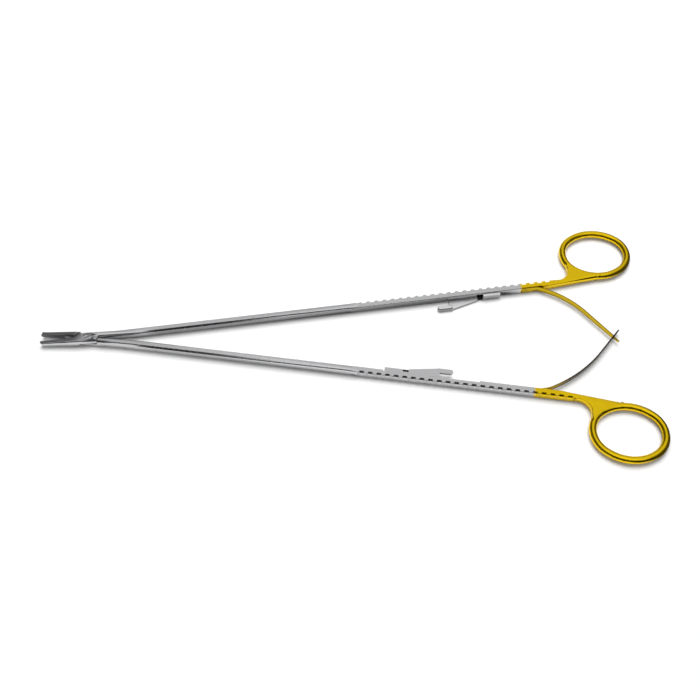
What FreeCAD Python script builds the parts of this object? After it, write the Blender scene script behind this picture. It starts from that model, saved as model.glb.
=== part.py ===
import FreeCAD, Part
import math
import os
from collections import namedtuple

os.makedirs("parts", exist_ok=True)

# Long surgical needle holder lying flat, jaws towards -X and finger rings towards +X.
# Sizes are millimetres. The origin is on the pivot axis, on the surface the instrument lies on.
# Both halves are made in one design frame and the lower one is that half turned about X.

# Opening of the two halves
open_half_angle = 7.92
travel_angle = 8.1

# Bar section of the shanks
bar_height = 4.3
bar_outer = 1.72
bar_inner = 1.25
bar_chamfer = 0.70
shank_end = 115.5
shank_taper = 3.5

# Flat handle part with the finger notches
grip_height = 3.6
grip_chamfer = 0.25
grip_end = 206.0
notch_count = 25
notch_pitch = 3.72
notch_radius = 1.28
notch_depth = 0.55
notch_start_upper = 118.8
notch_start_lower = 120.8

# Lap joint
joint_half_width = 2.55
layer_gap = 0.06
parting_gap = 0.06
shoulder_root = 5.94
shoulder_outer = 4.00
shoulder_gap = 0.12
heel_root = 4.52
heel_middle = 4.08
heel_outer = 3.96
heel_gap_root = 0.22
heel_gap_middle = 0.38
heel_gap_outer = 0.41
heel_middle_share = 0.41
stub_end = 30.0

# Jaws
jaw_length = 21.4
jaw_taper_start = 6.2
jaw_tip_width = 1.75
jaw_tip_half_height = 1.05
jaw_tip_round = 1.3
jaw_tip_chamfer = 0.45
jaw_tip_arc_station = 0.27
jaw_tip_arc_width = 0.62

# Carbide jaw faces with diamond teeth
insert_length = 10.8
insert_thickness = 0.9
braze_gap = 0.01
tooth_pitch = 0.74
tooth_depth = 0.20
tooth_angle = 32.0

# Slotted pivot screw
screw_head_radius = 1.7
screw_head_depth = 0.75
screw_shank_radius = 1.05
screw_running_gap = 0.05
screw_thread_gap = 0.02
screw_head_sink = 0.05
slot_width = 0.45
slot_depth = 0.40
slot_angle = 29.0

# Finger rings
ring_station = 234.79
ring_offset = 14.29
ring_half_length = 15.21
ring_half_width = 12.37
ring_end_radius = 10.9
ring_tilt = -4.7
ring_rod_half_width = 1.64
ring_rod_half_height = 1.66
web_thickness = 3.26
web_start = 211.0
web_chamfer = 0.35
web_chamfer_at_ring = 0.9
web_fillet_start = 213.0
web_fillet_end_station = 219.2
web_fillet_end_offset = 8.0
web_fillet_bulge = 0.47
web_inner_angle = -97.0
web_far_angle = -88.0
web_near_angle = 165.0
web_depth_angles = (-100.0, 190.0)

# Leaf springs: a strip with two bends and a straight end that gets lower towards its tip
leaf_thickness = 0.5
leaf_height = 2.8
leaf_tip_height = 2.0
leaf_root_gap = 0.35
leaf_root_start_upper = 195.6
leaf_root_length_upper = 6.4
leaf_first_radius_upper = 4.0
leaf_first_angle_upper = 25.55
leaf_main_radius_upper = 40.6
leaf_main_angle_upper = 32.93
leaf_straight_upper = 20.3
leaf_root_start_lower = 192.6
leaf_root_length_lower = 3.04
leaf_first_radius_lower = 14.0
leaf_first_angle_lower = 31.02
leaf_main_radius_lower = 63.3
leaf_main_angle_lower = 26.68
leaf_straight_lower = 15.15
leaf_seat_gap = 0.01
leaf_seat_end_gap = 0.5
leaf_rivet_setback = 1.4
tongue_height = 0.8
tongue_length = 3.7
window_height = 1.2
window_length = 3.2
window_wall = 2.7

# Catch levers
catch_station_upper = 185.0
catch_station_lower = 130.4
catch_reach_upper = 6.25
catch_reach_lower = 4.95
catch_block_length = 7.9
catch_block_reach = 2.45
catch_block_height = 2.9
catch_slot_length = 2.5
catch_slot_depth_from_back = 0.75
catch_plate_length = 13.4
catch_plate_thickness = 0.75
catch_plate_root_reach = 2.75
catch_neck_overlap = 1.0
catch_nose_length = 5.8
catch_nose_overlap = 1.0
catch_nose_width = 2.1
catch_nose_height = 1.7
catch_nose_chamfer = 0.35
catch_pocket_depth = 0.75
catch_pocket_gap = 0.03
catch_pocket_skin = 0.9
catch_end_gap = 0.45
catch_pocket_run_upper = 0.45
catch_pocket_run_lower = 17.4

# Rivets that hold the springs and the catches
rivet_radius = 0.6
rivet_gap = 0.02
rivet_depth = 1.5

# How far cutting shapes reach past what they cut
cut_margin = 2.0

bar_middle = bar_height / 2
grip_bottom = bar_middle - grip_height / 2
bend_angle = open_half_angle - travel_angle / 2
insert_depth = insert_thickness + parting_gap / 2
head_top = bar_height - screw_head_sink

UP = FreeCAD.Vector(0, 0, 1)
ALONG = FreeCAD.Vector(1, 0, 0)
ORIGIN = FreeCAD.Vector(0, 0, 0)
AXIS_POINT = FreeCAD.Vector(0, 0, bar_middle)


def point(x, y, z=0.0):
    return FreeCAD.Vector(x, y, z)


def closed_point(x, y, z=0.0):
    """A point given in the closed instrument's axes, in the design frame of one half."""
    angle = math.radians(bend_angle)
    along = x * math.cos(angle) + y * math.sin(angle)
    across = y * math.cos(angle) - x * math.sin(angle)
    return point(along, across, z)


def line_wire(points):
    return Part.makePolygon(points + points[:1])


def prism(wire, height):
    return Part.Face(wire).extrude(point(0, 0, height))


def block(x_range, y_range, z_range):
    corner = point(x_range[0], y_range[0], z_range[0])
    return Part.makeBox(
        x_range[1] - x_range[0],
        y_range[1] - y_range[0],
        z_range[1] - z_range[0],
        corner,
    )


def octagon(station, inner, outer, height, chamfer):
    """Chamfered bar section across the shank at one station."""
    low = bar_middle - height / 2
    high = bar_middle + height / 2
    outline = (
        (-inner + chamfer, low),
        (outer - chamfer, low),
        (outer, low + chamfer),
        (outer, high - chamfer),
        (outer - chamfer, high),
        (-inner + chamfer, high),
        (-inner, high - chamfer),
        (-inner, low + chamfer),
    )
    return line_wire([point(station, across, z) for across, z in outline])


def bar(stations, heights, chamfers):
    sections = [
        octagon(station, bar_inner, bar_outer, height, chamfer)
        for station, height, chamfer in zip(stations, heights, chamfers)
    ]
    return Part.makeLoft(sections, True, True)


def outer_bend():
    """Closed-frame X at which the joint's side runs into the shank's outer side."""
    angle = math.radians(bend_angle)
    station = (joint_half_width - bar_outer * math.cos(angle)) / math.sin(angle)
    return station * math.cos(angle) - bar_outer * math.sin(angle)


def inner_bend():
    """Closed-frame X at which the parting line runs into the shank's inner side."""
    angle = math.radians(bend_angle)
    station = (parting_gap + bar_inner * math.cos(angle)) / math.sin(angle)
    return station * math.cos(angle) + bar_inner * math.sin(angle)


def edges_wire(corners, arcs):
    """Closed wire through the corners; arcs maps a corner's index to the mid point of an arc."""
    edges = []
    for index, start in enumerate(corners):
        end = corners[(index + 1) % len(corners)]
        if index in arcs:
            edges.append(Part.Arc(start, arcs[index], end).toShape())
        else:
            edges.append(Part.LineSegment(start, end).toShape())
    return Part.Wire(edges)


def jaw_tip_corners():
    """Back corner, arc middle and face corner of the rounded jaw tip, in the closed frame."""
    back = (-jaw_length + jaw_tip_round, -jaw_tip_width)
    middle = (-jaw_length + jaw_tip_round * jaw_tip_arc_station, -jaw_tip_width * jaw_tip_arc_width)
    face = (-jaw_length, -parting_gap / 2)
    return back, middle, face


def top_layer():
    """Upper half of the lap: jaw, joint and the shank's start in one outline."""
    back, middle, face = jaw_tip_corners()
    corners = [
        closed_point(*back),
        closed_point(*face),
        closed_point(-shoulder_root, -parting_gap / 2),
        closed_point(-shoulder_outer, joint_half_width),
        closed_point(outer_bend(), joint_half_width),
        point(stub_end, bar_outer),
        point(stub_end, -bar_inner),
        closed_point(inner_bend(), parting_gap),
        closed_point(heel_root - heel_gap_root, parting_gap),
        closed_point(heel_outer - heel_gap_outer, -joint_half_width),
        closed_point(-jaw_taper_start, -joint_half_width),
    ]
    heel_middle_y = -joint_half_width * heel_middle_share
    arcs = {
        0: closed_point(*middle),
        8: closed_point(heel_middle - heel_gap_middle, heel_middle_y),
    }
    outline = edges_wire(corners, arcs)
    outline.translate(point(0, 0, bar_middle + layer_gap / 2))
    return prism(outline, bar_middle - layer_gap / 2)


def lower_jaw_block():
    """Full-height root of the jaw below the lap."""
    back, middle, face = jaw_tip_corners()
    root = shoulder_root + shoulder_gap
    outer = shoulder_outer + shoulder_gap
    corners = [
        closed_point(*back),
        closed_point(*face),
        closed_point(-root, -parting_gap / 2),
        closed_point(-outer, -joint_half_width),
        closed_point(-jaw_taper_start, -joint_half_width),
    ]
    outline = edges_wire(corners, {0: closed_point(*middle)})
    return prism(outline, bar_middle + layer_gap / 2)


def lower_shank_block():
    """Full-height start of the shank below the lap, with its rounded heel."""
    corners = [
        closed_point(heel_root, parting_gap),
        closed_point(inner_bend(), parting_gap),
        point(stub_end, -bar_inner),
        point(stub_end, bar_outer),
        closed_point(outer_bend(), joint_half_width),
        closed_point(heel_outer, joint_half_width),
    ]
    heel_middle_y = joint_half_width * heel_middle_share
    outline = edges_wire(corners, {5: closed_point(heel_middle, heel_middle_y)})
    return prism(outline, bar_middle + layer_gap / 2)


def jaw_side_profile():
    """Side view of the head: the jaw thins towards its rounded tip above and below."""
    nose = -jaw_length + jaw_tip_half_height
    high = [
        closed_point(nose, -joint_half_width * 2, bar_middle + jaw_tip_half_height),
        closed_point(-jaw_taper_start, -joint_half_width * 2, bar_height),
        closed_point(stub_end + cut_margin, -joint_half_width * 2, bar_height),
        closed_point(stub_end + cut_margin, -joint_half_width * 2, 0),
        closed_point(-jaw_taper_start, -joint_half_width * 2, 0),
        closed_point(nose, -joint_half_width * 2, bar_middle - jaw_tip_half_height),
    ]
    tip = closed_point(-jaw_length, -joint_half_width * 2, bar_middle)
    outline = edges_wire(high, {5: tip})
    sweep = closed_point(0, joint_half_width * 6) - closed_point(0, 0)
    return Part.Face(outline).extrude(sweep)


def jaw_half_height(x):
    """Half thickness of the tapering jaw at a closed-frame X."""
    nose = -jaw_length + jaw_tip_half_height
    share = (-jaw_taper_start - x) / (-jaw_taper_start - nose)
    return bar_middle - share * (bar_middle - jaw_tip_half_height)


def chamfer_section(corner, outward, rise, size):
    """Triangle that takes one long edge off; rise is +1 for an upper edge and -1 for a lower."""
    beyond = 0.4
    on_flat = corner - outward * size
    on_side = corner - point(0, 0, rise * size)
    slope = on_flat - on_side
    outside = corner + outward + point(0, 0, rise)
    return line_wire([on_flat + slope * beyond, on_side - slope * beyond, outside])


def chamfer_cutters(runs):
    """Wedges along straight edges, above and below; a run gives each end's place, half height and size."""
    cutters = []
    for start, end, outward, start_half, end_half, start_size, end_size in runs:
        for rise in (1, -1):
            first = start + point(0, 0, bar_middle + rise * start_half)
            last = end + point(0, 0, bar_middle + rise * end_half)
            sections = [
                chamfer_section(first, outward, rise, start_size),
                chamfer_section(last, outward, rise, end_size),
            ]
            cutters.append(Part.makeLoft(sections, True, True))
    return cutters


def long_chamfers():
    """Cutters along the jaw's back, both joint sides and both shank sides, above and below."""
    away = closed_point(0, 1)
    jaw_back = -jaw_length + jaw_tip_round
    runs = (
        (closed_point(-jaw_taper_start, -joint_half_width), closed_point(jaw_back, -jaw_tip_width),
         away * -1, bar_middle, jaw_half_height(jaw_back), bar_chamfer, jaw_tip_chamfer),
        (closed_point(-jaw_taper_start, -joint_half_width), closed_point(heel_outer, -joint_half_width),
         away * -1, bar_middle, bar_middle, bar_chamfer, bar_chamfer),
        (closed_point(-shoulder_outer, joint_half_width), closed_point(outer_bend(), joint_half_width),
         away, bar_middle, bar_middle, bar_chamfer, bar_chamfer),
        (closed_point(heel_root - heel_gap_root, parting_gap), closed_point(inner_bend(), parting_gap),
         away * -1, bar_middle, bar_middle, bar_chamfer, bar_chamfer),
        (closed_point(outer_bend(), joint_half_width), point(stub_end, bar_outer),
         point(0, 1), bar_middle, bar_middle, bar_chamfer, bar_chamfer),
        (closed_point(inner_bend(), parting_gap), point(stub_end, -bar_inner),
         point(0, -1), bar_middle, bar_middle, bar_chamfer, bar_chamfer),
    )
    return chamfer_cutters(runs)


def head():
    """Jaw, joint layer and shank start as one forging, with its long edges chamfered."""
    body = top_layer().fuse([lower_jaw_block(), lower_shank_block()]).removeSplitter()
    body = body.common(jaw_side_profile()).removeSplitter()
    return body.cut(long_chamfers()).removeSplitter()


def insert_zone(depth):
    """Space on the working face that holds the carbide insert."""
    corners = [
        closed_point(-jaw_length - cut_margin, cut_margin, -cut_margin),
        closed_point(-jaw_length - cut_margin, -depth, -cut_margin),
        closed_point(-jaw_length + insert_length, -depth, -cut_margin),
        closed_point(-jaw_length + insert_length, cut_margin, -cut_margin),
    ]
    return prism(line_wire(corners), bar_height + 2 * cut_margin)


def tooth_grooves():
    """V grooves in two crossing directions over the insert's working face."""
    grooves = []
    reach = insert_length + bar_height
    half_width = tooth_pitch / 2
    count = int(reach / tooth_pitch) + 1
    centre_x = -jaw_length + insert_length / 2
    face_y = -parting_gap / 2
    for lean in (tooth_angle, -tooth_angle):
        for index in range(-count, count + 1):
            corners = [
                point(-half_width, 0.0, -reach),
                point(half_width, 0.0, -reach),
                point(0.0, -tooth_depth, -reach),
            ]
            groove = Part.Face(line_wire(corners)).extrude(point(0, 0, 2 * reach))
            groove.rotate(ORIGIN, point(0, 1, 0), lean)
            shift = index * tooth_pitch / math.cos(math.radians(lean))
            groove.translate(point(centre_x + shift, face_y, bar_middle))
            groove.rotate(ORIGIN, UP, -bend_angle)
            grooves.append(groove)
    return grooves


def jaw_insert(blank):
    """Carbide plate cut from the jaw's own outline, with diamond teeth on its face."""
    plate = blank.common(insert_zone(insert_depth))
    return plate.cut(tooth_grooves())


def ring_arcs(inset=0.0):
    """Centre, radius, start and end angle of the four tangent arcs of the ring's oval."""
    end_reach = ring_half_length - ring_end_radius
    spread = end_reach ** 2 + ring_half_width ** 2 - ring_end_radius ** 2
    side_radius = spread / (2 * (ring_half_width - ring_end_radius))
    side_reach = side_radius - ring_half_width
    meet = math.atan2(side_reach, end_reach)
    return (
        (point(end_reach, 0), ring_end_radius - inset, -meet, meet),
        (point(0, -side_reach), side_radius - inset, meet, math.pi - meet),
        (point(-end_reach, 0), ring_end_radius - inset, math.pi - meet, math.pi + meet),
        (point(0, side_reach), side_radius - inset, math.pi + meet, 2 * math.pi - meet),
    )


def ring_placed(shape):
    shape.rotate(ORIGIN, UP, ring_tilt)
    shape.translate(point(ring_station, ring_offset, bar_middle))
    return shape


def finger_ring():
    """Slightly oval rod bent to an oval of four arcs."""
    rods = []
    for centre, radius, start, end in ring_arcs():
        middle = centre + point(math.cos(start), math.sin(start)) * radius
        across = (middle - centre).normalize() * ring_rod_half_width
        section = Part.Ellipse(middle + UP * ring_rod_half_height, middle + across, middle)
        rod = Part.Face(Part.Wire(section.toShape()))
        rods.append(rod.revolve(centre, UP, math.degrees(end - start)))
    return ring_placed(rods[0].fuse(rods[1:]).removeSplitter())


def ring_hole():
    """Inside of the ring's oval, reaching into the rod just past its crest, as the web's edge does."""
    crest = web_thickness / 2 / ring_rod_half_height
    inset = ring_rod_half_width * math.sqrt(1 - crest ** 2) / 2
    edges = [
        Part.ArcOfCircle(Part.Circle(centre, UP, radius), start, end).toShape()
        for centre, radius, start, end in ring_arcs(inset)
    ]
    outline = Part.Wire(edges)
    outline.translate(point(0, 0, -bar_middle))
    return ring_placed(prism(outline, bar_height))


def ring_point(angle, inset=0.0):
    """Point of the ring's centreline ellipse, or of the ellipse inset from it."""
    turned = math.radians(angle)
    x = (ring_half_length - inset) * math.cos(turned)
    y = (ring_half_width - inset) * math.sin(turned)
    tilt = math.radians(ring_tilt)
    along = ring_station + x * math.cos(tilt) - y * math.sin(tilt)
    across = ring_offset + x * math.sin(tilt) + y * math.cos(tilt)
    return point(along, across)


def root_inner(station):
    """Offset of the straight inner edge that runs from the grip to the ring's outside."""
    end = ring_point(web_inner_angle, -ring_rod_half_width)
    return -bar_inner + (end.y + bar_inner) * (station - grip_end) / (end.x - grip_end)


def grip_taper():
    """Short stretch in which the grip gets as low as the gusset."""
    sections = [
        octagon(grip_end, bar_inner, bar_outer, grip_height, grip_chamfer),
        octagon(web_start, -root_inner(web_start), bar_outer, web_thickness, web_chamfer),
    ]
    return Part.makeLoft(sections, True, True)


def ring_web():
    """Flat gusset flush with the ring's crest, with the concave fillet outside and broken edges."""
    fillet_start = point(web_fillet_start, bar_outer)
    fillet_end = point(web_fillet_end_station, web_fillet_end_offset)
    corner = point(web_fillet_end_station, bar_outer)
    chord_middle = (fillet_start + fillet_end) / 2
    fillet_middle = chord_middle + (corner - chord_middle) * web_fillet_bulge
    inner_end = ring_point(web_inner_angle, -ring_rod_half_width)
    corners = [
        point(web_start, root_inner(web_start)),
        inner_end,
        ring_point(web_far_angle),
        ring_point(web_depth_angles[0], ring_half_width / 2),
        ring_point(web_depth_angles[1], ring_half_width / 2),
        ring_point(web_near_angle),
        fillet_end,
        fillet_start,
        point(web_start, bar_outer),
    ]
    outline = edges_wire(corners, {6: fillet_middle})
    outline.translate(point(0, 0, bar_middle - web_thickness / 2))
    plate = prism(outline, web_thickness)
    outer_corners = (corners[5], fillet_end, fillet_start, corners[8])
    outer_edges = [edge for edge in plate.Edges if lies_between(edge, outer_corners)]
    plate = plate.makeChamfer(web_chamfer, outer_edges)
    inner_edge = (corners[0], inner_end, point(0, -1), web_thickness / 2, web_thickness / 2,
                  web_chamfer, web_chamfer_at_ring)
    return plate.cut(chamfer_cutters([inner_edge]) + [ring_hole()])


def lies_between(edge, places):
    """True for a level edge that joins two of the given places, seen from above."""
    ends = [vertex.Point for vertex in edge.Vertexes]
    level = abs(ends[0].z - ends[-1].z) < 1e-6
    met = [place for place in places for end in ends if (point(end.x, end.y) - place).Length < 1e-6]
    return level and len(met) == 2


def notches(start):
    tools = []
    for index in range(notch_count):
        centre = point(start + index * notch_pitch, bar_outer + notch_radius - notch_depth)
        tools.append(Part.makeCylinder(notch_radius, bar_height, centre, UP))
    return tools


def leaf_seat(bend):
    """Shallow rebate in the arm's inner side, as long as the leaf lies within the arm."""
    outer_radius = bend.first_radius + leaf_thickness / 2
    leaving = math.acos(1 - leaf_thickness / outer_radius)
    seat_end = bend.root_start + bend.root_length + outer_radius * math.sin(leaving)
    return block(
        (bend.root_start - leaf_root_gap, seat_end + leaf_seat_end_gap),
        (-bar_inner - cut_margin, -bar_inner + leaf_thickness + leaf_seat_gap),
        (bar_middle - leaf_height / 2 - leaf_seat_gap, bar_height),
    )


def catch_span(station, direction, start, end):
    """Station range of a stretch of the catch, counted from its fixed end."""
    ends = (station + direction * start, station + direction * end)
    return min(ends), max(ends)


def catch_length():
    return catch_block_length + catch_slot_length + catch_plate_length


def catch_pocket(station, direction, run):
    """Recess in the arm's inner side, open below, in which the catch's back edge lies."""
    span = catch_span(station, direction, -catch_end_gap, catch_length() + run)
    return block(
        span,
        (-bar_inner - cut_margin, -bar_inner + catch_pocket_depth),
        (-cut_margin, grip_bottom + grip_height - catch_pocket_skin),
    )


def catch_lever(station, direction, reach):
    """Block, neck, flat wedge plate and round nose of one catch, milled as one piece."""
    back = -bar_inner + catch_pocket_depth - catch_pocket_gap
    slot_start = catch_block_length
    plate_start = slot_start + catch_slot_length
    plate_end = plate_start + catch_plate_length
    base = block(
        catch_span(station, direction, 0, catch_block_length),
        (-catch_block_reach, back),
        (grip_bottom, grip_bottom + catch_block_height),
    )
    base_top = grip_bottom + grip_height - catch_pocket_skin - catch_pocket_gap
    inside = block(
        catch_span(station, direction, 0, catch_block_length),
        (-bar_inner - catch_pocket_gap, back + cut_margin),
        (base_top, bar_height),
    )
    neck = block(
        catch_span(
            station, direction, slot_start - catch_neck_overlap, plate_start + catch_neck_overlap
        ),
        (back - catch_slot_depth_from_back, back),
        (grip_bottom, grip_bottom + catch_plate_thickness),
    )
    plate_outline = line_wire([
        point(station + direction * plate_start, back, grip_bottom),
        point(station + direction * plate_start, -catch_plate_root_reach, grip_bottom),
        point(station + direction * plate_end, -reach, grip_bottom),
        point(station + direction * plate_end, back, grip_bottom),
    ])
    plate = prism(plate_outline, catch_plate_thickness)
    return base.cut(inside).fuse([neck, plate, catch_nose(station, direction, reach)]).removeSplitter()


def catch_nose(station, direction, reach):
    """Round-nosed bar that stands on the plate's free end and reaches past it."""
    radius = catch_nose_width / 2
    start = catch_length() - catch_nose_overlap
    end = catch_length() + catch_nose_length - radius
    centre = -reach + radius
    span = catch_span(station, direction, start, end)
    bar_part = block(
        span,
        (centre - radius, centre + radius),
        (grip_bottom, grip_bottom + catch_nose_height),
    )
    tip = Part.makeCylinder(
        radius,
        catch_nose_height,
        point(station + direction * end, centre, grip_bottom),
        UP,
    )
    nose = bar_part.fuse(tip).removeSplitter()
    top_z = grip_bottom + catch_nose_height
    rims = [edge for edge in nose.Edges if all(abs(v.Z - top_z) < 1e-6 for v in edge.Vertexes)]
    return nose.makeChamfer(catch_nose_chamfer, rims)


LeafBend = namedtuple(
    "LeafBend",
    "root_start root_length first_radius first_angle main_radius main_angle straight",
)


def leaf_path(bend, offset):
    """Plan edges of the leaf at an offset from its middle line, from root to tip."""
    root_end = bend.root_start + bend.root_length
    root_y = -bar_inner + leaf_thickness / 2
    first = math.radians(bend.first_angle)
    second = math.radians(bend.first_angle + bend.main_angle)
    stations = []

    def on_arc(centre, radius, angle):
        return point(
            centre[0] + (radius + offset) * math.sin(angle),
            centre[1] + (radius + offset) * math.cos(angle),
        )

    centre_one = (root_end, root_y - bend.first_radius)
    joint = (
        centre_one[0] + bend.first_radius * math.sin(first),
        centre_one[1] + bend.first_radius * math.cos(first),
    )
    centre_two = (
        joint[0] - bend.main_radius * math.sin(first),
        joint[1] - bend.main_radius * math.cos(first),
    )
    stations.append(point(bend.root_start, root_y + offset))
    stations.append(point(root_end, root_y + offset))
    stations.append(on_arc(centre_one, bend.first_radius, first / 2))
    stations.append(on_arc(centre_one, bend.first_radius, first))
    stations.append(on_arc(centre_two, bend.main_radius, (first + second) / 2))
    stations.append(on_arc(centre_two, bend.main_radius, second))
    straight_run = point(math.cos(second), -math.sin(second)) * bend.straight
    stations.append(stations[-1] + straight_run)
    return stations


def leaf_blank(bend, height):
    """Bent strip of the given height, centred on the bar's middle plane."""
    outer = leaf_path(bend, leaf_thickness / 2)
    inner = leaf_path(bend, -leaf_thickness / 2)
    edges = [
        Part.LineSegment(outer[0], outer[1]).toShape(),
        Part.Arc(outer[1], outer[2], outer[3]).toShape(),
        Part.Arc(outer[3], outer[4], outer[5]).toShape(),
        Part.LineSegment(outer[5], outer[6]).toShape(),
        Part.LineSegment(outer[6], inner[6]).toShape(),
        Part.LineSegment(inner[6], inner[5]).toShape(),
        Part.Arc(inner[5], inner[4], inner[3]).toShape(),
        Part.Arc(inner[3], inner[2], inner[1]).toShape(),
        Part.LineSegment(inner[1], inner[0]).toShape(),
        Part.LineSegment(inner[0], outer[0]).toShape(),
    ]
    outline = Part.Wire(edges)
    outline.translate(point(0, 0, bar_middle - height / 2))
    return prism(outline, height)


def at_leaf_tip(shape, bend):
    """Turns a shape made along +X up to the origin to the straight end's direction and tip."""
    shape.rotate(ORIGIN, UP, -bend.first_angle - bend.main_angle)
    shape.translate(leaf_path(bend, 0.0)[-1])
    return shape


def leaf_tip_zone(bend, start, length, height):
    """Box along the straight end of the leaf, counted back from its tip."""
    zone = block(
        (-start - length, -start),
        (-cut_margin, cut_margin),
        (bar_middle - height / 2, bar_middle + height / 2),
    )
    return at_leaf_tip(zone, bend)


def leaf_tapered(bend):
    """Leaf whose straight end gets lower towards its tip, above and below alike."""
    slope = (leaf_height - leaf_tip_height) / 2 / bend.straight
    wedges = []
    for rise in (1, -1):
        past_tip = leaf_tip_height / 2 - slope * cut_margin
        corners = [
            point(-bend.straight, -cut_margin, bar_middle + rise * leaf_height / 2),
            point(cut_margin, -cut_margin, bar_middle + rise * past_tip),
            point(cut_margin, -cut_margin, bar_middle + rise * leaf_height),
            point(-bend.straight, -cut_margin, bar_middle + rise * leaf_height),
        ]
        wedge = Part.Face(line_wire(corners)).extrude(point(0, 2 * cut_margin, 0))
        wedges.append(at_leaf_tip(wedge, bend))
    return leaf_blank(bend, leaf_height).cut(wedges)


def tongue_leaf(bend):
    """Leaf whose end is narrowed to a tongue."""
    tip = leaf_tip_zone(bend, -cut_margin, tongue_length + cut_margin, bar_height)
    tongue = leaf_blank(bend, tongue_height)
    return leaf_tapered(bend).cut(tip).fuse(tongue).removeSplitter()


def window_leaf(bend):
    """Leaf whose end has a window for the other leaf's tongue."""
    window = leaf_tip_zone(bend, window_wall, window_length, window_height)
    return leaf_tapered(bend).cut(window)


def rivet(station, from_y, to_y, z, extra=0.0):
    return Part.makeCylinder(
        rivet_radius + extra,
        to_y - from_y,
        point(station, from_y, z),
        point(0, 1, 0),
    )


def arm_blank(jaw_and_joint, notch_start):
    """Jaw, joint, shank, notched grip, gusset and ring of one half as one forging."""
    shank = bar((stub_end, shank_end), (bar_height, bar_height), (bar_chamfer, bar_chamfer))
    taper = bar(
        (shank_end, shank_end + shank_taper),
        (bar_height, grip_height),
        (bar_chamfer, grip_chamfer),
    )
    grip = bar(
        (shank_end + shank_taper, grip_end),
        (grip_height, grip_height),
        (grip_chamfer, grip_chamfer),
    )
    handle = grip.fuse([grip_taper(), ring_web()]).cut(notches(notch_start))
    return jaw_and_joint.fuse([shank, taper, handle, finger_ring()]).removeSplitter()


def turned_to_upper(shape):
    """From the design frame to the upper half's place."""
    placed = shape.copy()
    placed.rotate(ORIGIN, UP, open_half_angle)
    return placed


def turned_to_lower(shape):
    """From the design frame to the lower half's place."""
    placed = turned_to_upper(shape)
    placed.rotate(AXIS_POINT, ALONG, 180)
    return placed


def pivot_screw():
    """Countersunk slotted screw, fixed in the lower layer and turning in the upper one."""
    shank = Part.makeCylinder(screw_shank_radius, head_top)
    cone = Part.makeCone(
        screw_shank_radius,
        screw_head_radius,
        screw_head_depth,
        point(0, 0, head_top - screw_head_depth),
    )
    slot = block(
        (-screw_head_radius - cut_margin, screw_head_radius + cut_margin),
        (-slot_width / 2, slot_width / 2),
        (head_top - slot_depth, bar_height + cut_margin),
    )
    slot.rotate(ORIGIN, UP, slot_angle)
    return shank.fuse(cone).removeSplitter().cut(slot)


def running_bore():
    """Bore and countersink in the upper layer, with running clearance to the screw."""
    radius = screw_shank_radius + screw_running_gap
    bore = through_bore(radius)
    cone = Part.makeCone(
        radius,
        screw_head_radius + screw_running_gap,
        screw_head_depth,
        point(0, 0, head_top - screw_head_depth),
    )
    mouth_radius = screw_head_radius + screw_running_gap
    mouth = Part.makeCylinder(mouth_radius, cut_margin, point(0, 0, head_top))
    return bore.fuse([cone, mouth])


def through_bore(radius):
    return Part.makeCylinder(radius, bar_height + 2 * cut_margin, point(0, 0, -cut_margin))


def build_half(notch_start, catch_station, catch_direction, catch_reach, pocket_run, bend, leaf, joint_bore):
    """All pieces of one half in the design frame."""
    spring_rivet_station = bend.root_start + leaf_rivet_setback
    rivet_end = -bar_inner + leaf_thickness + rivet_depth
    spring_rivet = rivet(spring_rivet_station, -bar_inner, rivet_end, bar_middle)
    outside = -bar_inner - cut_margin
    spring_bore = rivet(spring_rivet_station, outside, rivet_end + rivet_gap, bar_middle, rivet_gap)

    block_middle = sum(catch_span(catch_station, catch_direction, 0, catch_block_length)) / 2
    block_z = grip_bottom + catch_block_height / 2
    catch_end = -bar_inner + catch_pocket_depth + rivet_depth
    catch_rivet = rivet(block_middle, -catch_block_reach, catch_end, block_z)
    outside = -catch_block_reach - cut_margin
    catch_bore = rivet(block_middle, outside, catch_end + rivet_gap, block_z, rivet_gap)

    pocket = catch_pocket(catch_station, catch_direction, pocket_run)
    lever = catch_lever(catch_station, catch_direction, catch_reach).cut(catch_bore)
    arm = arm_blank(plain_head.cut(insert_zone(insert_depth + braze_gap)), notch_start)
    return {
        "arm": arm.cut([leaf_seat(bend), pocket]).cut([spring_bore, catch_bore, joint_bore]),
        "jaw_insert": toothed_insert,
        "leaf_spring": leaf(bend).cut(spring_bore),
        "spring_rivet": spring_rivet,
        "catch_lever": lever,
        "catch_rivet": catch_rivet,
    }


def turned_bore(bore):
    """The joint's bore as the lower half's design frame sees it."""
    placed = bore.copy()
    placed.rotate(AXIS_POINT, ALONG, 180)
    return placed


upper_bend = LeafBend(
    leaf_root_start_upper,
    leaf_root_length_upper,
    leaf_first_radius_upper,
    leaf_first_angle_upper,
    leaf_main_radius_upper,
    leaf_main_angle_upper,
    leaf_straight_upper,
)
lower_bend = LeafBend(
    leaf_root_start_lower,
    leaf_root_length_lower,
    leaf_first_radius_lower,
    leaf_first_angle_lower,
    leaf_main_radius_lower,
    leaf_main_angle_lower,
    leaf_straight_lower,
)
plain_head = head()
toothed_insert = jaw_insert(plain_head)
upper = build_half(
    notch_start_upper,
    catch_station_upper,
    -1,
    catch_reach_upper,
    catch_pocket_run_upper,
    upper_bend,
    tongue_leaf,
    running_bore(),
)
lower = build_half(
    notch_start_lower,
    catch_station_lower,
    1,
    catch_reach_lower,
    catch_pocket_run_lower,
    lower_bend,
    window_leaf,
    turned_bore(through_bore(screw_shank_radius + screw_thread_gap)),
)

pieces = {"pivot_screw": pivot_screw()}
for name, shape in upper.items():
    pieces[name + "_upper"] = turned_to_upper(shape)
for name, shape in lower.items():
    pieces[name + "_lower"] = turned_to_lower(shape)

for name, shape in pieces.items():
    shape.exportStep("parts/" + name + ".step")
    solids = len(shape.Solids)
    print(name, "solids", solids, "valid", shape.isValid(), "volume", round(shape.Volume, 2))
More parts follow.
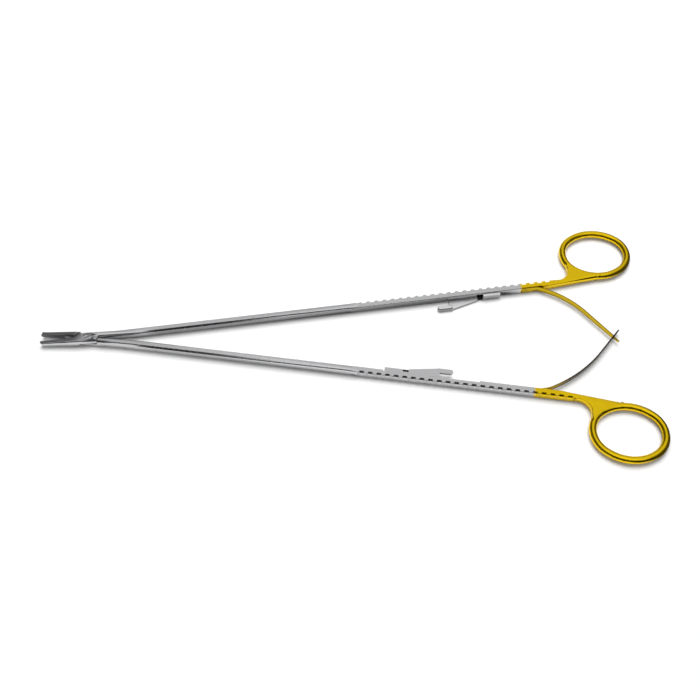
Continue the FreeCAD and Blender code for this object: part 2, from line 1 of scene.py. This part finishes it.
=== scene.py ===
import math
import bpy
from mathutils import Matrix, Vector


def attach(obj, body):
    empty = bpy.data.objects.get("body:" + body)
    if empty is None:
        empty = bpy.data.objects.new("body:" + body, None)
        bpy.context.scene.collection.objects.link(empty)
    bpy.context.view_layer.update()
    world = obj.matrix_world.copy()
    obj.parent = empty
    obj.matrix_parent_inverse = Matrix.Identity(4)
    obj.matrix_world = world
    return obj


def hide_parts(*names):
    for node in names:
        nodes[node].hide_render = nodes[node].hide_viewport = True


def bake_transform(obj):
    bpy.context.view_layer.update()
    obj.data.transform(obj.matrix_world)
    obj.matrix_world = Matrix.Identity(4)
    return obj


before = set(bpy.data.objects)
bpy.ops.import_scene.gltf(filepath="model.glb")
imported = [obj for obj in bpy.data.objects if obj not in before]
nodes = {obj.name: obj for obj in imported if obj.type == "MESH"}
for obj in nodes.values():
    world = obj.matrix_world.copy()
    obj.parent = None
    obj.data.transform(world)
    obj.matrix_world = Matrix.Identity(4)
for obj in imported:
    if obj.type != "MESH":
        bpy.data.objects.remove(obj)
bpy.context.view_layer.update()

# The two forged halves: jaw, lap joint, slender shank, notched grip and finger ring in one piece.
# Stainless steel, milled and belt-ground along its length to a satin finish, then gold plated
# from just before the spring's root to the end of the ring.
half_opening = math.radians(7.92)
plating_start = 0.1950
plating_edge = 0.0007
steel_colour = (0.63, 0.63, 0.64, 1)
steel_cloud = tuple(tone * 0.90 for tone in steel_colour[:3]) + (1,)
gold_colour = (0.90, 0.62, 0.010, 1)
gold_cloud = (0.82, 0.55, 0.008, 1)
steel_roughness = (0.24, 0.29)
gold_roughness = (0.22, 0.30)
belt_grain = 9000
grain_stretch = 0.03
cloud_size = {"Scale": 90.0, "Detail": 2.0}


def new_node(owner, kind, inputs=None, **settings):
    """Adds a node to a material or to the world, with its settings and input values."""
    node = owner.node_tree.nodes.new(kind)
    for key, value in settings.items():
        setattr(node, key, value)
    for key, value in (inputs or {}).items():
        node.inputs[key].default_value = value
    return node


def link(owner, source, target):
    owner.node_tree.links.new(source, target)


def stepped(owner, source, start, end, low=0.0, high=1.0):
    """A soft step from low to high while the source goes from start to end."""
    reach = {"From Min": start, "From Max": end, "To Min": low, "To Max": high}
    step = new_node(owner, "ShaderNodeMapRange", reach, interpolation_type="SMOOTHSTEP")
    link(owner, source, step.inputs["Value"])
    return step.outputs["Result"]


def along_way(owner, source, way):
    """How far the source reaches along a direction."""
    measure = new_node(owner, "ShaderNodeVectorMath", operation="DOT_PRODUCT")
    measure.inputs[1].default_value = way
    link(owner, source, measure.inputs[0])
    return measure.outputs["Value"]


def mixed(owner, share, first, second, data_type="RGBA"):
    """Goes from the first colour or source to the second by a share."""
    mix = new_node(owner, "ShaderNodeMix", data_type=data_type)
    link(owner, share, mix.inputs["Factor"])
    for end, source in (("A", first), ("B", second)):
        if isinstance(source, tuple):
            mix.inputs[end].default_value = source
        else:
            link(owner, source, mix.inputs[end])
    return mix.outputs["Result"]


def metal(name, colour):
    material = bpy.data.materials.new(name)
    material.use_nodes = True
    shader = material.node_tree.nodes["Principled BSDF"]
    shader.inputs["Base Color"].default_value = colour
    shader.inputs["Metallic"].default_value = 1.0
    return material, shader


def grain(material, turn, fineness):
    """Noise drawn out along the arm, as a grinding belt leaves it, and the place it reads."""
    place = new_node(material, "ShaderNodeTexCoord")
    mapping = new_node(material, "ShaderNodeMapping")
    mapping.inputs["Rotation"].default_value = (0, 0, -turn)
    mapping.inputs["Scale"].default_value = (fineness * grain_stretch, fineness, fineness)
    noise = new_node(
        material, "ShaderNodeTexNoise", {"Scale": 1.0, "Detail": 3.0, "Roughness": 0.6}
    )
    link(material, place.outputs["Object"], mapping.inputs["Vector"])
    link(material, mapping.outputs["Vector"], noise.inputs["Vector"])
    return place.outputs["Object"], noise.outputs["Fac"]


def spread(material, source, low, high):
    """Spreads the middle of a noise over a range."""
    middle = {"From Min": 0.3, "From Max": 0.7, "To Min": low, "To Max": high}
    reach = new_node(material, "ShaderNodeMapRange", middle)
    link(material, source, reach.inputs["Value"])
    return reach.outputs["Result"]


def ground_bump(material, shader, height, strength):
    bump = new_node(material, "ShaderNodeBump", {"Strength": strength, "Distance": 0.00001})
    link(material, height, bump.inputs["Height"])
    link(material, bump.outputs["Normal"], shader.inputs["Normal"])


def ground_metal(name, colour, fineness, roughness, bump=0.0):
    """One metal with a fine grain in its gloss and, where it has a bump, in its face."""
    material, shader = metal(name, colour)
    place, noise = grain(material, 0.0, fineness)
    link(material, spread(material, noise, *roughness), shader.inputs["Roughness"])
    if bump:
        ground_bump(material, shader, noise, bump)
    return material, shader, place


def plated_arm(name, turn):
    """Satin steel along an arm that lies at an angle, and gold from the plating's start."""
    material, shader = metal(name, steel_colour)
    place, noise = grain(material, turn, belt_grain)
    station = along_way(material, place, (math.cos(turn), math.sin(turn), 0))
    plated = stepped(material, station, plating_start - plating_edge, plating_start + plating_edge)
    cloud_noise = new_node(material, "ShaderNodeTexNoise", cloud_size)
    link(material, place, cloud_noise.inputs["Vector"])
    cloud = cloud_noise.outputs["Fac"]
    steel = mixed(material, cloud, steel_colour, steel_cloud)
    gold = mixed(material, cloud, gold_colour, gold_cloud)
    link(material, mixed(material, plated, steel, gold), shader.inputs["Base Color"])
    steel_gloss = spread(material, noise, *steel_roughness)
    gold_gloss = spread(material, cloud, *gold_roughness)
    gloss = mixed(material, plated, steel_gloss, gold_gloss, data_type="FLOAT")
    link(material, gloss, shader.inputs["Roughness"])
    ground_bump(material, shader, noise, 0.025)
    return material


# The jaws' upward flats are painted darker as painted shade, fading back to plain steel just
# before the joint. The notches' lower facets are painted near white as a painted highlight.
jaw_flat_end = 0.0
jaw_shade_full_end = -0.0075
jaw_plain_start = -0.0005
jaw_shade_colour = (0.24, 0.24, 0.25, 1)
jaw_top_shade, jaw_shader, jaw_place = ground_metal(
    "jaw_top_painted_shade", jaw_shade_colour, fineness=6000, roughness=(0.34, 0.46)
)
jaw_reach = along_way(jaw_top_shade, jaw_place, (1, 0, 0))
jaw_shade_fade = stepped(jaw_top_shade, jaw_reach, jaw_shade_full_end, jaw_plain_start)
jaw_shade_tone = mixed(jaw_top_shade, jaw_shade_fade, jaw_shade_colour, steel_colour)
link(jaw_top_shade, jaw_shade_tone, jaw_shader.inputs["Base Color"])
# Painted highlight: the notches' lower facets are painted near white and made mostly non-metallic,
# so they read as bright glints.
filed_glint_colour = (0.95, 0.95, 0.95, 1)
filed_facet_glint, filed_shader, filed_place = ground_metal(
    "filed_facet_painted_highlight", filed_glint_colour, fineness=3000, roughness=(0.40, 0.50)
)
filed_shader.inputs["Metallic"].default_value = 0.2
# How far up a face's normal points, on the filed facets and on the jaws' flats.
filed_rise = (0.30, 0.38)
flat_rise = 0.8
facing = 0.9

# Each grip is filed out of a plain band. It is cut at a thousand times its size, so its sizes
# are in millimetres: across from the arm's middle line, up from the table and along the arm.
enlargement = 1000
bar_middle = 0.00215
outer_face = 1.72
inner_cut = 0.5
past_outer_face = 2.2
below_arm = -2
above_arm = 7
grip_low = 0.35
grip_high = 3.95
grip_edge = 0.14
grip_end = 206.0
web_start = 211.0
filed_end = 211.9
web_share = 3.26 / 3.6
notch_pitch = 3.72
notch_mouth = 2.2
file_depth = 3.0
file_length = 6.5
file_corner = 0.35
# A flat file with round corners makes each notch in two strokes. A stroke has its lean from
# upright in degrees and the place of its foot, across and up.
notch_strokes = ((45.0, 0.74, 3.95), (20.0, 1.72, 2.50))
# Name, node, body, side, first notch, notches and start of the band.
forged_halves = (
    ("forged_half_upper", "arm_upper", "upper_half", 1, 122.52, 24, 120.66),
    ("forged_half_lower", "arm_lower", "lower_half", -1, 120.80, 25, 119.0),
)
close_corners = 0.000002
near = 0.01
level_drop = 0.3
band_crease = math.radians(15)
forging_crease = math.radians(28)


def picked(piece):
    bpy.ops.object.select_all(action="DESELECT")
    bpy.context.view_layer.objects.active = piece
    piece.select_set(True)


def merged_copy(name, node_name):
    """A copy of a node as one closed mesh."""
    piece = bpy.data.objects.new(name, nodes[node_name].data.copy())
    bpy.context.scene.collection.objects.link(piece)
    picked(piece)
    bpy.ops.object.mode_set(mode="EDIT")
    bpy.ops.mesh.select_all(action="SELECT")
    bpy.ops.mesh.remove_doubles(threshold=close_corners)
    bpy.ops.mesh.select_all(action="DESELECT")
    bpy.ops.object.mode_set(mode="OBJECT")
    return piece


def sized(piece, share):
    picked(piece)
    bpy.ops.object.mode_set(mode="EDIT")
    bpy.ops.mesh.select_all(action="SELECT")
    bpy.ops.transform.resize(value=(share, share, share), center_override=(0, 0, 0))
    bpy.ops.object.mode_set(mode="OBJECT")


def cut_away(piece, cutter):
    """Takes the cutter's space out of the piece and clears the cutter away."""
    picked(piece)
    bpy.ops.object.modifier_add(type="BOOLEAN")
    step = piece.modifiers[-1]
    step.operation = "DIFFERENCE"
    step.solver = "EXACT"
    step.object = cutter
    bpy.ops.object.modifier_apply(modifier=step.name)
    picked(cutter)
    bpy.ops.object.delete()
    picked(piece)


def directions(side):
    """The ways along one half and out from its middle line."""
    along = Vector((math.cos(half_opening), side * math.sin(half_opening), 0))
    outward = Vector((-math.sin(half_opening), side * math.cos(half_opening), 0))
    return along, outward


def slab(start, end, low_across, high_across, low, high, along, outward):
    """Box along one half, given by its stations, its reach across and its heights."""
    bpy.ops.object.select_all(action="DESELECT")
    middle = along * (start + end) / 2 + outward * (low_across + high_across) / 2
    bpy.ops.mesh.primitive_cube_add(
        size=1,
        location=middle + Vector((0, 0, (low + high) / 2)),
        rotation=(0, 0, math.atan2(along.y, along.x)),
    )
    box = bpy.context.object
    box.scale = (end - start, high_across - low_across, high - low)
    bpy.ops.object.transform_apply(location=True, rotation=True, scale=True)
    return box


def plain_band(start, along, outward):
    """The grip before it is filed: it thins towards the web, and its outer edges are broken."""
    grip = slab(start, grip_end, inner_cut, outer_face, grip_low, grip_high, along, outward)
    bpy.ops.object.mode_set(mode="EDIT")
    bpy.ops.mesh.select_all(action="DESELECT")
    bpy.ops.object.mode_set(mode="OBJECT")
    for face in grip.data.polygons:
        face.select = face.normal.dot(along) > facing
    bpy.ops.object.mode_set(mode="EDIT")
    to_web = along * (web_start - grip_end)
    bpy.ops.mesh.extrude_region_move(TRANSFORM_OT_translate={"value": to_web})
    middle = (0, 0, bar_middle * enlargement)
    bpy.ops.transform.resize(value=(1, 1, web_share), center_override=middle)
    to_end = along * (filed_end - web_start)
    bpy.ops.mesh.extrude_region_move(TRANSFORM_OT_translate={"value": to_end})
    bpy.ops.mesh.select_all(action="DESELECT")
    bpy.ops.object.mode_set(mode="OBJECT")
    for edge in grip.data.edges:
        ends = [grip.data.vertices[index].co for index in edge.vertices]
        on_face = all(corner.dot(outward) > outer_face - near for corner in ends)
        edge.select = on_face and abs(ends[0].z - ends[1].z) < level_drop
    bpy.ops.object.mode_set(mode="EDIT")
    bpy.ops.mesh.bevel(offset=grip_edge, segments=1)
    bpy.ops.object.mode_set(mode="OBJECT")
    return grip


def row_of_strokes(lean, foot_across, foot_height, first, count, along, outward):
    """Files in a row, one for each notch, leaning over the grip by an angle."""
    lean = math.radians(lean)
    off_metal = outward * math.cos(lean) + Vector((0, 0, math.sin(lean)))
    foot = along * first + outward * foot_across + Vector((0, 0, foot_height))
    bpy.ops.object.select_all(action="DESELECT")
    bpy.ops.mesh.primitive_cube_add(size=1)
    files = bpy.context.object
    files.scale = (notch_mouth, file_depth, file_length)
    bpy.ops.object.transform_apply(location=True, rotation=True, scale=True)
    for edge in files.data.edges:
        ends = [files.data.vertices[index].co for index in edge.vertices]
        edge.select = (ends[0].xy - ends[1].xy).length < near
    bpy.ops.object.mode_set(mode="EDIT")
    bpy.ops.mesh.bevel(offset=file_corner, segments=4)
    bpy.ops.object.mode_set(mode="OBJECT")
    files.location = foot + off_metal * file_depth / 2
    turned = Matrix((along, off_metal, along.cross(off_metal))).transposed()
    files.rotation_euler = turned.to_euler()
    bpy.ops.object.transform_apply(location=True, rotation=True, scale=True)
    bpy.ops.object.modifier_add(type="ARRAY")
    row = files.modifiers[-1]
    row.count = count
    row.use_relative_offset = False
    row.use_constant_offset = True
    row.constant_offset_displace = along * notch_pitch
    bpy.ops.object.modifier_apply(modifier=row.name)
    return files


for name, node_name, body, side, first_notch, notch_count, start in forged_halves:
    half = merged_copy(name, node_name)
    sized(half, enlargement)
    along, outward = directions(side)
    old_band = slab(
        start, filed_end, inner_cut, past_outer_face, below_arm, above_arm, along, outward
    )
    cut_away(half, old_band)
    grip = plain_band(start, along, outward)
    for lean, foot_across, foot_height in notch_strokes:
        files = row_of_strokes(
            lean, foot_across, foot_height, first_notch, notch_count, along, outward
        )
        cut_away(grip, files)
    picked(grip)
    bpy.ops.object.shade_smooth_by_angle(angle=band_crease)
    picked(half)
    bpy.ops.object.shade_smooth_by_angle(angle=forging_crease)
    grip.select_set(True)
    bpy.ops.object.join()
    sized(half, 1 / enlargement)
    picked(half)
    bpy.ops.object.modifier_add(type="WEIGHTED_NORMAL")
    half.modifiers[-1].keep_sharp = True
    bpy.ops.object.modifier_apply(modifier=half.modifiers[-1].name)
    half.data.materials.clear()
    half.data.materials.append(plated_arm("steel_and_gold_" + body, side * half_opening))
    half.data.materials.append(jaw_top_shade)
    half.data.materials.append(filed_facet_glint)
    for face in half.data.polygons:
        # The lower facets, tilted a little up and facing out, take the painted highlight.
        rises = filed_rise[0] < face.normal.z < filed_rise[1]
        filed = rises and face.normal.dot(outward) > facing
        # Upward faces of the jaws take the painted shade.
        if face.normal.z > flat_rise and face.center.x < jaw_flat_end:
            face.material_index = 1
        elif filed and start / enlargement < face.center.dot(along) < plating_start:
            face.material_index = 2
        else:
            face.material_index = 0
    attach(half, body)
    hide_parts(node_name)

# Jaw plates: sintered tungsten carbide brazed to each jaw, ground with two crossing sets of
# V grooves so that pointed diamonds stand on the working face. Dull and darker than the steel.
carbide_colour = (0.30, 0.30, 0.31, 1)


def dress(node_name, material):
    mesh = nodes[node_name].data
    mesh.materials.clear()
    mesh.materials.append(material)


carbide, carbide_shader, carbide_place = ground_metal(
    "sintered_carbide", carbide_colour, fineness=6000, roughness=(0.38, 0.52), bump=0.15
)
dress("jaw_insert_upper", carbide)
dress("jaw_insert_lower", carbide)

# Pivot screw: turned stainless steel with a slotted countersunk head, its face flush with the
# upper half. The head carries fine turning rings.
head_start = 0.0042
head_rim = 0.00174
head_level = 0.00428
screw_colour = (0.57, 0.58, 0.60, 1)
screw_roughness = (0.22, 0.34)
screw_crease = math.radians(30)
screw_steel, screw_shader = metal("turned_screw_steel", screw_colour)
screw_place = new_node(screw_steel, "ShaderNodeTexCoord")
rings = new_node(screw_steel, "ShaderNodeTexWave", {"Scale": 2600.0, "Distortion": 0.4})
rings.wave_type = "RINGS"
rings.rings_direction = "Z"
link(screw_steel, screw_place.outputs["Object"], rings.inputs["Vector"])
ring_gloss = spread(screw_steel, rings.outputs["Fac"], *screw_roughness)
link(screw_steel, ring_gloss, screw_shader.inputs["Roughness"])
ground_bump(screw_steel, screw_shader, rings.outputs["Fac"], 0.12)
screw = merged_copy("slotted_screw", "pivot_screw")
cad_rim = 0.0
for vertex in screw.data.vertices:
    vertex.select = vertex.co.z > head_start
    if vertex.select:
        cad_rim = max(cad_rim, vertex.co.xy.length)
bpy.ops.object.mode_set(mode="EDIT")
rim_share = head_rim / cad_rim
bpy.ops.transform.resize(value=(rim_share, rim_share, 0), center_override=(0, 0, head_level))
bpy.ops.object.mode_set(mode="OBJECT")
bpy.ops.object.shade_smooth_by_angle(angle=screw_crease)
screw.data.materials.clear()
screw.data.materials.append(screw_steel)
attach(screw, "lower_half")
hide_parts("pivot_screw")

# Catch levers and their rivets: milled spring steel, tumbled to a soft satin, riveted into a
# pocket on each arm's inner side. The upper lever and its rivet are painted lighter, as painted
# light.
# The upper tone is painted light; the lower one is the plain steel tone.
lever_tones_with_painted_light = (("upper", (0.88, 0.88, 0.89, 1)), ("lower", (0.61, 0.61, 0.62, 1)))
for arm_name, lever_tone in lever_tones_with_painted_light:
    lever_steel, lever_shader, lever_place = ground_metal(
        "tumbled_spring_steel_" + arm_name,
        lever_tone,
        fineness=2500,
        roughness=(0.26, 0.38),
        bump=0.08,
    )
    dress("catch_lever_" + arm_name, lever_steel)
    dress("catch_rivet_" + arm_name, lever_steel)

# A dark box in the slot between each catch's block and plate: painted shade where the slot lies
# in shadow. In millimetres.
slot_shade_colour = (0.030, 0.030, 0.032, 1)
slot_shade, slot_shade_shader, slot_shade_place = ground_metal(
    "slot_painted_shade", slot_shade_colour, fineness=2500, roughness=(0.45, 0.60)
)
slot_length = 2.5
block_length = 7.9
upper_block_end = 185.0
lower_block_start = 130.4
neck_inner = 0.55
neck_reach = 2.35
neck_low = 0.36
neck_edge = 0.12
catch_slot_shades = (
    ("catch_slot_shade_upper", "upper_half", 1, upper_block_end - block_length - slot_length, 1.45),
    ("catch_slot_shade_lower", "lower_half", -1, lower_block_start + block_length, 1.09),
)
for name, body, side, start, neck_high in catch_slot_shades:
    along, outward = directions(side)
    end = start + slot_length
    low = neck_low if side > 0 else 2 * bar_middle * enlargement - neck_high
    high = low + neck_high - neck_low
    shade_box = slab(start, end, -neck_reach, -neck_inner, low, high, along, outward)
    shade_box.name = name
    bpy.ops.object.modifier_add(type="BEVEL")
    shade_box.modifiers[-1].width = neck_edge
    shade_box.modifiers[-1].segments = 2
    bpy.ops.object.modifier_apply(modifier=shade_box.modifiers[-1].name)
    sized(shade_box, 1 / enlargement)
    shade_box.data.materials.append(slot_shade)
    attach(shade_box, body)

# Leaf springs and their rivets: bent spring strip, gold plated. The lower leaf is painted near
# black beyond its root, as painted shade. The upper leaf's tongue runs through the lower leaf's
# window.
leaf_colour = (0.56, 0.39, 0.010, 1)
leaf_gold, gold_shader, gold_place = ground_metal(
    "gold_plated_strip", leaf_colour, fineness=1200, roughness=(0.12, 0.24), bump=0.05
)
# Painted shade: the upper strip's top and bottom edges are a darker gold.
strip_edge_shade_colour = (0.34, 0.23, 0.012, 1)
strip_edge_shade, edge_shader, edge_place = ground_metal(
    "strip_edge_painted_shade", strip_edge_shade_colour, fineness=1200, roughness=(0.25, 0.40)
)
# Painted shade: the lower strip turns near black, fading in beyond its root.
lower_leaf_shade_colour = (0.045, 0.030, 0.012, 1)
leaf_shade_start = 0.194
leaf_shade_end = 0.212
lower_leaf_shade, leaf_shade_shader, leaf_shade_place = ground_metal(
    "lower_strip_painted_shade", leaf_colour, fineness=1200, roughness=(0.14, 0.26)
)
leaf_shade_reach = along_way(lower_leaf_shade, leaf_shade_place, (1, 0, 0))
leaf_shade_step = stepped(lower_leaf_shade, leaf_shade_reach, leaf_shade_start, leaf_shade_end)
leaf_shade_tone = mixed(lower_leaf_shade, leaf_shade_step, leaf_colour, lower_leaf_shade_colour)
link(lower_leaf_shade, leaf_shade_tone, leaf_shade_shader.inputs["Base Color"])
dress("spring_rivet_upper", leaf_gold)
dress("spring_rivet_lower", leaf_gold)
leaf_thickness = 0.0006
leaf_height = 0.0028
leaf_tip_height = 0.0020
leaf_root_offset = 0.0010
leaf_steps = 4
leaf_corner = 0.00012
sharp_corner = math.radians(50)
leaf_crease = math.radians(35)
edge_rise = 0.6
tongue_height = 0.0011
tongue_length = 0.0037
window_height = 0.0012
window_length = 0.0032
window_wall = 0.0027
rivet_station = 0.0014
rivet_radius = 0.00062
# Name, node, own body, other body, side, station and length of the root, the bends with their
# radius, angle and steps, the straight end's length, and the tongue's length.
leaf_springs = (
    ("spring_strip_upper", "leaf_spring_upper", "upper_half", "lower_half", 1,
     0.1956, 0.0064, ((0.0040, 25.55, 8), (0.0406, 32.93, 16)), 0.0203, tongue_length),
    ("spring_strip_lower", "leaf_spring_lower", "lower_half", "upper_half", -1,
     0.1926, 0.00304, ((0.0140, 31.02, 10), (0.0633, 26.68, 16)), 0.01515, 0.0),
)


def drawn_out(way):
    bpy.ops.mesh.extrude_region_move(TRANSFORM_OT_translate={"value": way})


def lowered(share):
    bpy.ops.transform.resize(value=(1, 1, share), center_override=(0, 0, bar_middle))


def cut_window(strip, tip, along):
    """Opens the window near the strip's tip."""
    bpy.ops.object.select_all(action="DESELECT")
    bpy.ops.mesh.primitive_cube_add(
        size=1,
        location=tip - along * (window_wall + window_length / 2),
        rotation=(0, 0, math.atan2(along.y, along.x)),
    )
    opening = bpy.context.object
    opening.scale = (window_length, leaf_thickness * 3, window_height)
    cut_away(strip, opening)


for (
    name, node_name, own_body, other_body, side, root, root_length, bends, straight, tongue
) in leaf_springs:
    root_way, outward = directions(side)
    along, inward = root_way, -outward
    start = along * root + inward * leaf_root_offset + Vector((0, 0, bar_middle))
    bpy.ops.object.select_all(action="DESELECT")
    bpy.ops.mesh.primitive_plane_add(
        size=1, location=start, rotation=(math.pi / 2, 0, side * half_opening - math.pi / 2)
    )
    strip = bpy.context.object
    strip.name = name
    strip.scale = (leaf_thickness, leaf_height, 1)
    bpy.ops.object.transform_apply(location=True, rotation=True, scale=True)
    bpy.ops.object.mode_set(mode="EDIT")
    bpy.ops.mesh.select_all(action="SELECT")
    drawn_out(along * root_length)
    end = start + along * root_length
    for radius, angle, steps in bends:
        centre = end + inward * radius
        bpy.ops.mesh.spin(
            steps=steps, angle=math.radians(angle), center=centre, axis=(0, 0, side)
        )
        turn = Matrix.Rotation(-side * math.radians(angle), 3, "Z")
        along = turn @ along
        end = centre - (turn @ inward) * radius
        inward = turn @ inward
    height = leaf_height
    step_length = (straight - tongue) / leaf_steps
    for step in range(leaf_steps):
        reached = step_length * (step + 1)
        lower = leaf_height - (leaf_height - leaf_tip_height) * reached / straight
        drawn_out(along * step_length)
        lowered(lower / height)
        height = lower
    tip = end + along * straight
    if tongue:
        drawn_out(Vector((0, 0, 0)))
        lowered(tongue_height / height)
        drawn_out(along * tongue)
        bpy.ops.mesh.select_all(action="SELECT")
        bpy.ops.mesh.dissolve_degenerate(threshold=close_corners / 2)
    bpy.ops.mesh.select_all(action="SELECT")
    bpy.ops.mesh.normals_make_consistent(inside=False)
    bpy.ops.object.mode_set(mode="OBJECT")
    if not tongue:
        cut_window(strip, tip, along)
    bpy.ops.object.select_all(action="DESELECT")
    bpy.ops.mesh.primitive_cylinder_add(
        vertices=28,
        radius=rivet_radius,
        depth=leaf_thickness * 4,
        location=start + root_way * rivet_station,
        rotation=(math.pi / 2, 0, side * half_opening),
    )
    cut_away(strip, bpy.context.object)
    bpy.ops.object.modifier_add(type="BEVEL")
    corner = strip.modifiers[-1]
    corner.width = leaf_corner
    corner.segments = 2
    corner.limit_method = "ANGLE"
    corner.angle_limit = sharp_corner
    bpy.ops.object.modifier_apply(modifier=corner.name)
    bpy.ops.object.shade_smooth_by_angle(angle=leaf_crease)
    strip.data.materials.append(leaf_gold if tongue else lower_leaf_shade)
    strip.data.materials.append(strip_edge_shade if tongue else lower_leaf_shade)
    # Faces that point up or down take the edge colour, which is painted shade on the upper strip.
    for face in strip.data.polygons:
        face.material_index = 1 if abs(face.normal.z) > edge_rise else 0
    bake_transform(strip)
    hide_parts(node_name)

# The table: a plain pale surface that keeps the soft shadow of the instrument. What the metal
# mirrors of it is painted: bright in front and under the rings, painted shade between the shanks,
# and painted dark past the rings.
table_x = 0.12
seen_tone = (0.80, 0.80, 0.80, 1)
mirrored_bright = 0.86
mirrored_shade = 0.40
mirrored_dark_past_rings = 0.10
white_lift = 0.10
bpy.ops.object.select_all(action="DESELECT")
bpy.ops.mesh.primitive_plane_add(size=4, location=(table_x, 0, 0))
table = bpy.context.object
table.name = "table"
table_white = bpy.data.materials.new("table_white")
table_white.use_nodes = True
table_shader = table_white.node_tree.nodes["Principled BSDF"]
table_shader.inputs["Roughness"].default_value = 0.9
ray = new_node(table_white, "ShaderNodeLightPath")
spot = new_node(table_white, "ShaderNodeTexCoord").outputs["Object"]
spot_x = along_way(table_white, spot, (1, 0, 0))
spot_y = along_way(table_white, spot, (0, 1, 0))
# Painted reflection: glossy rays see painted shade between the shanks and painted dark past the
# rings.
shade_between_shanks = stepped(table_white, spot_y, -0.0025, 0.0010, mirrored_bright, mirrored_shade)
bright_under_rings = stepped(
    table_white, spot_x, 0.185 - table_x, 0.200 - table_x, mirrored_shade, mirrored_bright
)
dark_past_rings = stepped(
    table_white, spot_x, 0.236 - table_x, 0.247 - table_x, 1.0, mirrored_dark_past_rings
)


def combined(owner, operation, first, second):
    """Puts two sources, or a source and a number, together."""
    sum_node = new_node(owner, "ShaderNodeMath", operation=operation)
    for index, source in enumerate((first, second)):
        if isinstance(source, float):
            sum_node.inputs[index].default_value = source
        else:
            link(owner, source, sum_node.inputs[index])
    return sum_node.outputs["Value"]


painted_reflection = combined(table_white, "MAXIMUM", shade_between_shanks, bright_under_rings)
painted_reflection = combined(table_white, "MULTIPLY", painted_reflection, dark_past_rings)
table_tone = mixed(table_white, ray.outputs["Is Glossy Ray"], seen_tone, painted_reflection)
link(table_white, table_tone, table_shader.inputs["Base Color"])
lift = combined(table_white, "MULTIPLY", ray.outputs["Is Camera Ray"], white_lift)
table_shader.inputs["Emission Color"].default_value = (1, 1, 1, 1)
link(table_white, lift, table_shader.inputs["Emission Strength"])
table.data.materials.append(table_white)

# Studio light: a broad soft lamp behind the instrument that lights the table, and a white tent
# that the metal mirrors. The tent ends on the left and the right and low in front.
lamp_place = (table_x, 0.55, 1.35)
bpy.ops.object.light_add(type="AREA", location=lamp_place)
lamp = bpy.context.object
lamp.name = "soft_lamp"
lamp.data.shape = "RECTANGLE"
lamp.data.size = 1.2
lamp.data.size_y = 1.0
lamp.data.energy = 24
lamp.visible_glossy = False
aim = Vector((table_x, 0, 0)) - lamp.location
lamp.rotation_euler = aim.to_track_quat("-Z", "Y").to_euler()

world = bpy.context.scene.world or bpy.data.worlds.new("studio")
bpy.context.scene.world = world
world.use_nodes = True
world.node_tree.nodes.clear()
sky = new_node(world, "ShaderNodeTexCoord").outputs["Generated"]
to_left = along_way(world, sky, (-1, 0, 0))
to_right = along_way(world, sky, (1, 0, 0))
to_front_edge = along_way(world, sky, (0, 0.78, 0.62))
to_camera_side = along_way(world, sky, (0, -0.62, 0.78))
left_end = stepped(world, to_left, 0.29, 0.40, 1.0, 0.08)
right_end = stepped(world, to_right, 0.42, 0.60, 1.0, 0.06)
front_end = stepped(world, to_front_edge, -0.05, 0.35)
overhead = stepped(world, to_camera_side, 0.42, 0.85, 0.0, 0.45)
at_the_back = stepped(world, to_camera_side, -0.60, 0.20, 0.45, 0.94)
room_dark = 0.03
cloth = combined(world, "ADD", overhead, at_the_back)
cloth = combined(world, "MULTIPLY", cloth, front_end)
cloth = combined(world, "MULTIPLY", cloth, combined(world, "MULTIPLY", left_end, right_end))
cloth = combined(world, "ADD", cloth, room_dark)
room_light = new_node(world, "ShaderNodeBackground")
room_white = new_node(world, "ShaderNodeBackground", {"Color": (1, 1, 1, 1)})
room_ray = new_node(world, "ShaderNodeLightPath")
room_mix = new_node(world, "ShaderNodeMixShader")
room_out = new_node(world, "ShaderNodeOutputWorld")
link(world, cloth, room_light.inputs["Strength"])
link(world, room_ray.outputs["Is Camera Ray"], room_mix.inputs["Fac"])
link(world, room_light.outputs["Background"], room_mix.inputs[1])
link(world, room_white.outputs["Background"], room_mix.inputs[2])
link(world, room_mix.outputs["Shader"], room_out.inputs["Surface"])

# Camera: above the near ring's side, about 59 degrees up, as the photograph was taken.
camera_place = (0.108295, -0.201496, 0.32453)
camera_data = bpy.data.cameras.new("camera")
camera_data.sensor_width = 36
camera_data.lens = 44.213
camera_data.clip_start = 0.01
camera = bpy.data.objects.new("camera", camera_data)
bpy.context.scene.collection.objects.link(camera)
camera.matrix_world = Matrix.Translation(camera_place) @ (
    Matrix.Rotation(math.radians(-0.5746), 4, "Z")
    @ Matrix.Rotation(math.radians(-0.7741), 4, "Y")
    @ Matrix.Rotation(math.radians(31.2544), 4, "X")
)
bpy.context.scene.camera = camera
bpy.context.scene.view_settings.view_transform = "Standard"
